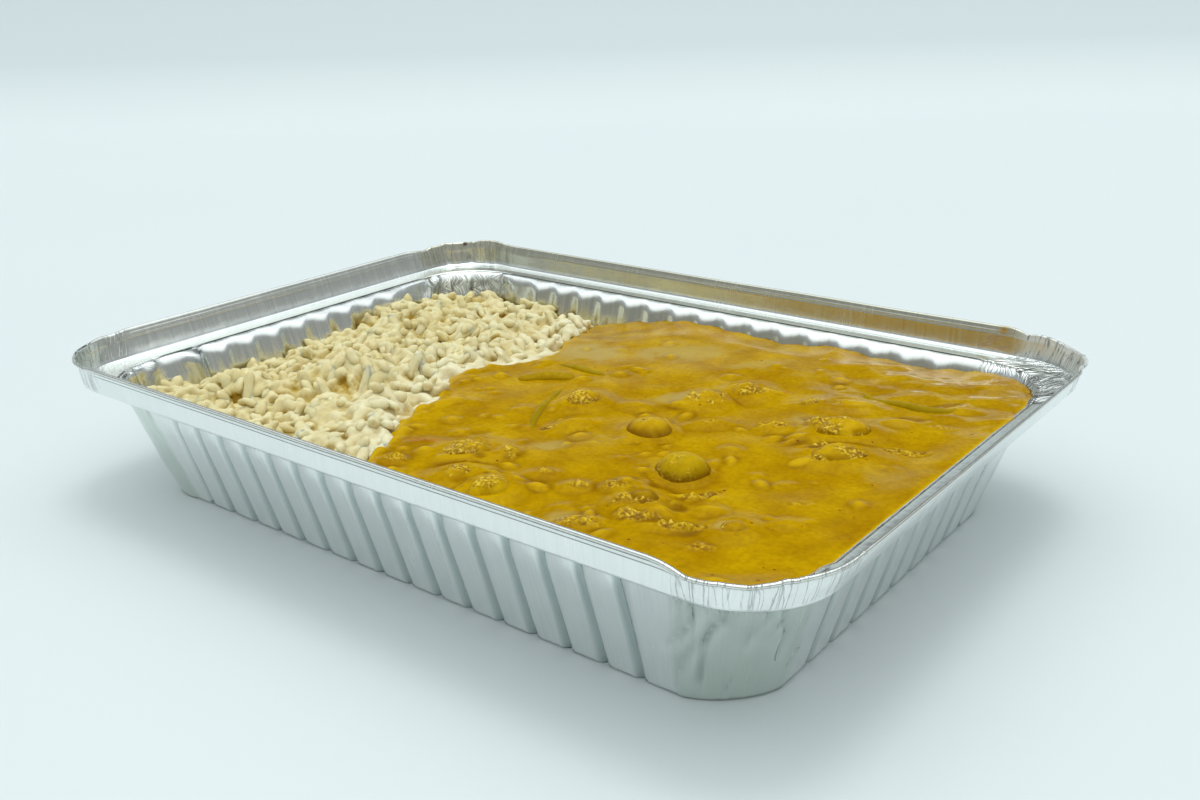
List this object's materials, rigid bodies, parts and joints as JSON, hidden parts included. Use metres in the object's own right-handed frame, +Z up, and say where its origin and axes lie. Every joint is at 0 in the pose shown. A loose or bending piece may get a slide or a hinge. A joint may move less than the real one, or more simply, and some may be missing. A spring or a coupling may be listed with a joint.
{
  "type": "foil tray meal",
  "caption": "Takeaway meal in an oblong crimped foil tray: boiled rice at one end and chickpea curry in yellow sauce over the rest.",
  "frame": {"origin": "centre of the underside of the tray, on the surface it stands on", "axes": "+X along the long side, from the rice end to the curry end; +Y across the tray; +Z up"},
  "size_m": [0.215, 0.1498, 0.0381],
  "materials": {
    "foil": "bright rolled foil, crimped and pleated",
    "rice": "soft boiled grains, slightly moist",
    "curry": "wet, glossy thick sauce",
    "chickpea": "boiled, coated with sauce",
    "potato": "boiled, coated with sauce",
    "onion": "cooked soft, translucent, coated with sauce",
    "pepper": "cooked soft, coated with sauce"
  },
  "bodies": {
    "root": {"foil_tray": "foil", "rice": "rice", "curry": "curry", "chickpea_1": "chickpea", "chickpea_2": "chickpea", "chickpea_3": "chickpea", "chickpea_4": "chickpea", "chickpea_5": "chickpea", "chickpea_6": "chickpea", "chickpea_7": "chickpea", "chickpea_8": "chickpea", "chickpea_9": "chickpea", "potato_chunk_1": "potato", "potato_chunk_2": "potato", "potato_chunk_3": "potato", "potato_chunk_4": "potato", "onion_strip_1": "onion", "onion_strip_2": "onion", "onion_strip_3": "onion", "pepper_strip_1": "pepper"}
  },
  "joints": []
}
